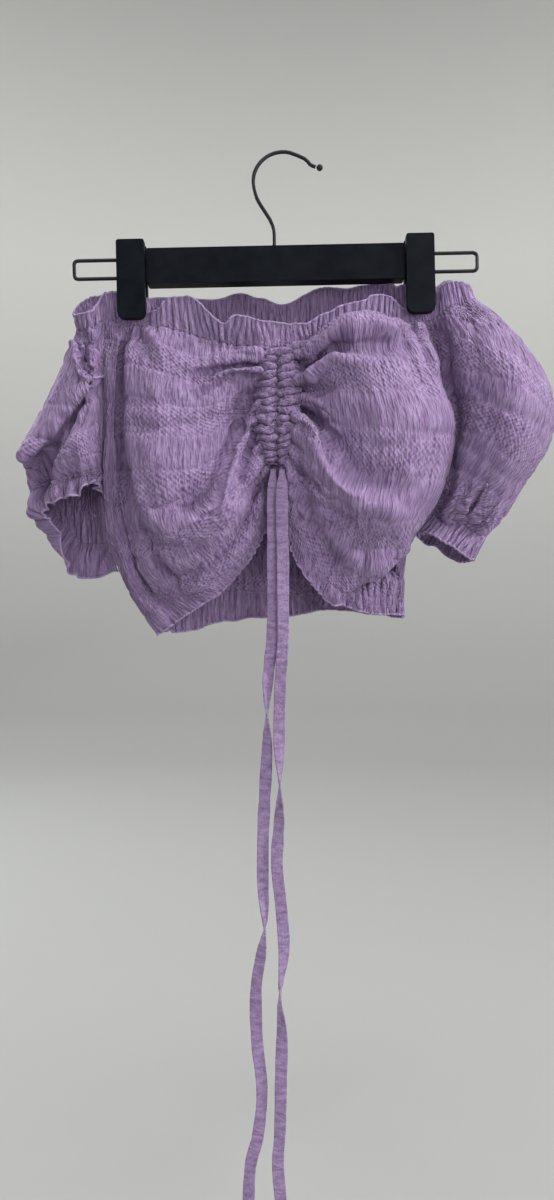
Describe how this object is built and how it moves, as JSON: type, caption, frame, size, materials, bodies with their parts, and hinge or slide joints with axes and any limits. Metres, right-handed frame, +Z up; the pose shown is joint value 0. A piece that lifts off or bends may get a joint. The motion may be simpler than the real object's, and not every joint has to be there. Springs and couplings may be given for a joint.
{
  "type": "off-the-shoulder crop top on a clip hanger",
  "caption": "Crinkled off-the-shoulder crop top with puff sleeves, a ruched centre front, long flat ties and frilled edges, hung by its neck casing from a straight clip hanger.",
  "frame": {"origin": "inner top of the hanger's hook, where the rail that holds it touches it", "axes": "+Z up, +X to the viewer's right across the garment, +Y from the front to the back"},
  "size_m": [0.4828, 0.0958, 0.9628],
  "materials": {
    "lilac_crinkle_cotton": "crinkled woven cotton, matt",
    "lilac_binding": "plain woven cotton, folded and stitched",
    "black_plastic": "satin moulded plastic",
    "black_coated_wire": "satin black coating",
    "grey_rubber": "matt"
  },
  "bodies": {
    "root": {"front_left": "lilac_crinkle_cotton", "front_right": "lilac_crinkle_cotton", "back": "lilac_crinkle_cotton", "sleeve_left": "lilac_crinkle_cotton", "sleeve_right": "lilac_crinkle_cotton", "neck_frill_front": "lilac_crinkle_cotton", "neck_frill_back": "lilac_crinkle_cotton", "neck_frill_sleeve_left": "lilac_crinkle_cotton", "neck_frill_sleeve_right": "lilac_crinkle_cotton", "hem_frill_back": "lilac_crinkle_cotton", "cuff_frill_left": "lilac_crinkle_cotton", "cuff_frill_right": "lilac_crinkle_cotton", "channel_left": "lilac_binding", "channel_right": "lilac_binding", "tie_left": "lilac_binding", "tie_right": "lilac_binding", "hanger_bar": "black_plastic", "clip_left_front_jaw": "black_plastic", "clip_left_rear_jaw": "black_plastic", "clip_right_front_jaw": "black_plastic", "clip_right_rear_jaw": "black_plastic", "hanger_hook": "black_coated_wire", "hook_ball": "black_coated_wire", "end_loop_left": "black_coated_wire", "end_loop_right": "black_coated_wire", "clip_left_pivot": "black_coated_wire", "clip_right_pivot": "black_coated_wire", "clip_left_front_pad": "grey_rubber", "clip_left_rear_pad": "grey_rubber", "clip_right_front_pad": "grey_rubber", "clip_right_rear_pad": "grey_rubber"}
  },
  "joints": []
}
